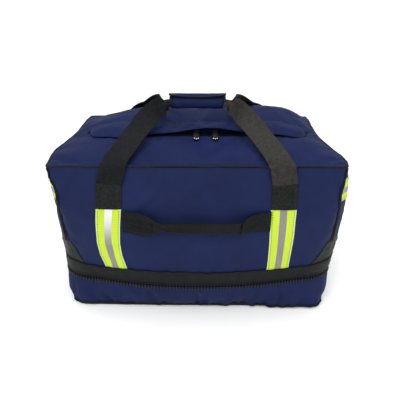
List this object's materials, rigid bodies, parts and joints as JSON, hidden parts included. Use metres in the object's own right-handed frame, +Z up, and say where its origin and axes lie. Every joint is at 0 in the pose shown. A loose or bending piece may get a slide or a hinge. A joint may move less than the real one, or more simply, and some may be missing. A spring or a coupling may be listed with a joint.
{
  "type": "emergency gear bag",
  "caption": "Soft-sided rectangular gear bag with a domed zip top, a zipped base compartment, grab handles with wrap grip, front haul handle and reflective tape.",
  "frame": {"origin": "on the floor, under the middle of the bag", "axes": "+X along the bag's length, to the right seen from the front; -Y is the front with the haul handle; +Z is up"},
  "size_m": [0.6563, 0.4561, 0.4681],
  "materials": {
    "navy_fabric": "matt woven polyester, fine plain weave",
    "black_webbing": "ribbed polypropylene webbing, satin",
    "black_coated_fabric": "coated woven fabric, satin",
    "black_piping": "woven binding over cord",
    "zip_tape": "woven zip tape, matt",
    "zip_teeth": "moulded coil teeth, satin",
    "reflective_tape": "lime fluorescent with a silver reflective middle stripe",
    "slider_metal": "black enamelled die casting with bright worn tip",
    "lining_fabric": "thin plain lining",
    "stiffener_board": "stiff board, matt"
  },
  "bodies": {
    "base": {"base_panel": "navy_fabric", "base_board": "stiffener_board", "base_wall": "navy_fabric", "base_piping": "black_piping", "base_zip_tape_lower": "zip_tape", "base_zip_teeth_lower": "zip_teeth", "rear_hinge_strip": "black_webbing"},
    "bag_body": {"front_panel": "navy_fabric", "back_panel": "navy_fabric", "left_end_panel": "navy_fabric", "right_end_panel": "navy_fabric", "divider_floor": "lining_fabric", "lining": "lining_fabric", "wear_band": "black_coated_fabric", "front_left_corner_patch": "black_coated_fabric", "front_right_corner_patch": "black_coated_fabric", "back_left_corner_patch": "black_coated_fabric", "back_right_corner_patch": "black_coated_fabric", "corner_piping": "black_piping", "top_seam_piping": "black_piping", "left_top_gusset": "navy_fabric", "right_top_gusset": "navy_fabric", "base_zip_tape_upper": "zip_tape", "base_zip_teeth_upper": "zip_teeth", "front_left_anchor": "black_webbing", "front_right_anchor": "black_webbing", "back_left_anchor": "black_webbing", "back_right_anchor": "black_webbing", "front_left_reflective_tape": "reflective_tape", "front_right_reflective_tape": "reflective_tape", "back_left_reflective_tape": "reflective_tape", "back_right_reflective_tape": "reflective_tape", "left_end_tape": "reflective_tape", "right_end_tape": "reflective_tape", "haul_anchor_left": "black_webbing", "haul_anchor_right": "black_webbing"},
    "top_front": {"top_front_panel": "navy_fabric", "zip_facing_front": "navy_fabric", "zip_teeth_front": "zip_teeth"},
    "top_rear": {"top_rear_panel": "navy_fabric", "zip_tape_rear": "zip_tape", "zip_teeth_rear": "zip_teeth", "storm_flap": "navy_fabric"},
    "front_handle": {"front_left_strap": "black_webbing", "front_right_strap": "black_webbing", "front_grip": "navy_fabric"},
    "back_handle": {"back_left_strap": "black_webbing", "back_right_strap": "black_webbing", "back_grip": "navy_fabric"},
    "grip_cover": {"grip_cover": "navy_fabric", "grip_cover_binding": "black_webbing"},
    "haul_handle": {"haul_handle": "black_webbing"},
    "top_slider_left": {"top_slider_left": "slider_metal"},
    "top_pull_left": {"top_pull_left": "slider_metal"},
    "top_slider_right": {"top_slider_right": "slider_metal"},
    "top_pull_right": {"top_pull_right": "slider_metal"},
    "base_slider_front": {"base_slider_front": "slider_metal"},
    "base_pull_front": {"base_pull_front": "slider_metal"},
    "base_slider_rear": {"base_slider_rear": "slider_metal"},
    "base_pull_rear": {"base_pull_rear": "slider_metal"}
  },
  "joints": [
    {"name": "base_open", "type": "hinge", "parent": "base", "child": "bag_body", "pos_m": [0, 0.2235, 0.079], "axis": [-1, 0, 0], "range_deg": [0, 65], "deforming": ["rear_hinge_strip"]},
    {"name": "top_front_open", "type": "hinge", "parent": "bag_body", "child": "top_front", "pos_m": [0, -0.189, 0.365], "axis": [1, 0, 0], "range_deg": [0, 85], "deforming": ["zip_facing_front", "zip_teeth_front"]},
    {"name": "top_rear_open", "type": "hinge", "parent": "bag_body", "child": "top_rear", "pos_m": [0, 0.189, 0.365], "axis": [-1, 0, 0], "range_deg": [0, 85], "deforming": ["zip_tape_rear", "zip_teeth_rear"]},
    {"name": "front_handle_swing", "type": "hinge", "parent": "bag_body", "child": "front_handle", "pos_m": [0, -0.198, 0.3645], "axis": [1, 0, 0], "range_deg": [0, 145]},
    {"name": "back_handle_swing", "type": "hinge", "parent": "bag_body", "child": "back_handle", "pos_m": [0, 0.198, 0.3645], "axis": [-1, 0, 0], "range_deg": [0, 145]},
    {"name": "grip_cover_open", "type": "hinge", "parent": "back_handle", "child": "grip_cover", "pos_m": [0, 0.0165, 0.4365], "axis": [-1, 0, 0], "range_deg": [0, 110]},
    {"name": "haul_handle_swing", "type": "hinge", "parent": "bag_body", "child": "haul_handle", "pos_m": [0, -0.221, 0.232], "axis": [-1, 0, 0], "range_deg": [-45, 60]},
    {"name": "top_slider_left_travel", "type": "slide", "parent": "bag_body", "child": "top_slider_left", "axis": [-1, 0, 0], "range_m": [0, 0.196]},
    {"name": "top_slider_right_travel", "type": "slide", "parent": "bag_body", "child": "top_slider_right", "axis": [1, 0, 0], "range_m": [0, 0.16]},
    {"name": "top_pull_left_lift", "type": "hinge", "parent": "top_slider_left", "child": "top_pull_left", "pos_m": [-0.002, -0.05, 0.3908], "axis": [-1, 0, 0], "range_deg": [0, 100]},
    {"name": "top_pull_right_lift", "type": "hinge", "parent": "top_slider_right", "child": "top_pull_right", "pos_m": [0.041, -0.05, 0.3908], "axis": [-1, 0, 0], "range_deg": [0, 100]},
    {"name": "base_slider_front_travel", "type": "hinge", "parent": "bag_body", "child": "base_slider_front", "pos_m": [-0.43925, 0, 0.079], "axis": [0, 0, -1], "range_deg": [0, 6.4]},
    {"name": "base_slider_rear_travel", "type": "hinge", "parent": "bag_body", "child": "base_slider_rear", "pos_m": [-0.43925, 0, 0.079], "axis": [0, 0, 1], "range_deg": [0, 6.4]},
    {"name": "base_pull_front_lift", "type": "hinge", "parent": "base_slider_front", "child": "base_pull_front", "pos_m": [0.3302, -0.012, 0.079], "axis": [0, -1, 0], "range_deg": [0, 110]},
    {"name": "base_pull_rear_lift", "type": "hinge", "parent": "base_slider_rear", "child": "base_pull_rear", "pos_m": [0.3302, 0.012, 0.079], "axis": [0, -1, 0], "range_deg": [0, 110]}
  ],
  "couplings": [
    {"joint": "top_rear_open", "follows": "top_front_open", "ratio": 1},
    {"joint": "front_handle_swing", "follows": "top_front_open", "ratio": 1.7},
    {"joint": "back_handle_swing", "follows": "top_front_open", "ratio": 1.7},
    {"joint": "top_slider_left_travel", "follows": "top_front_open", "m_per_rad": 0.13205},
    {"joint": "top_slider_right_travel", "follows": "top_front_open", "m_per_rad": 0.10778}
  ]
}
